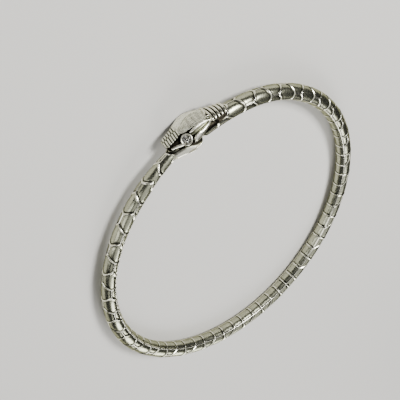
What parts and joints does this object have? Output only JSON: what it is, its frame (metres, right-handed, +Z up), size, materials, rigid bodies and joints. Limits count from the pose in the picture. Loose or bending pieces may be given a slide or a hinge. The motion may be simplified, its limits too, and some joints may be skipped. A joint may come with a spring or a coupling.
{
  "type": "snake bangle",
  "caption": "Closed round bangle shaped as a snake biting its tail, with a scaled body, a ribbed neck and snout, and a round clear stone in each eye.",
  "frame": {"origin": "on the surface that the bangle rests on, where the ring's axis meets it", "axes": "+Z up along the ring's axis as it lies on its side, leaning by under one degree; the snake's head is at -Y with its snout towards +X"},
  "size_m": [0.0696, 0.0712, 0.0054],
  "materials": {
    "body_silver": "polished cast silver with darkened recesses",
    "head_silver": "cast silver, textured crown and polished cheeks",
    "clear_stone": "faceted clear stone"
  },
  "bodies": {
    "root": {"hoop": "body_silver", "head": "head_silver", "eye_stone_right": "clear_stone", "eye_stone_left": "clear_stone"}
  },
  "joints": []
}
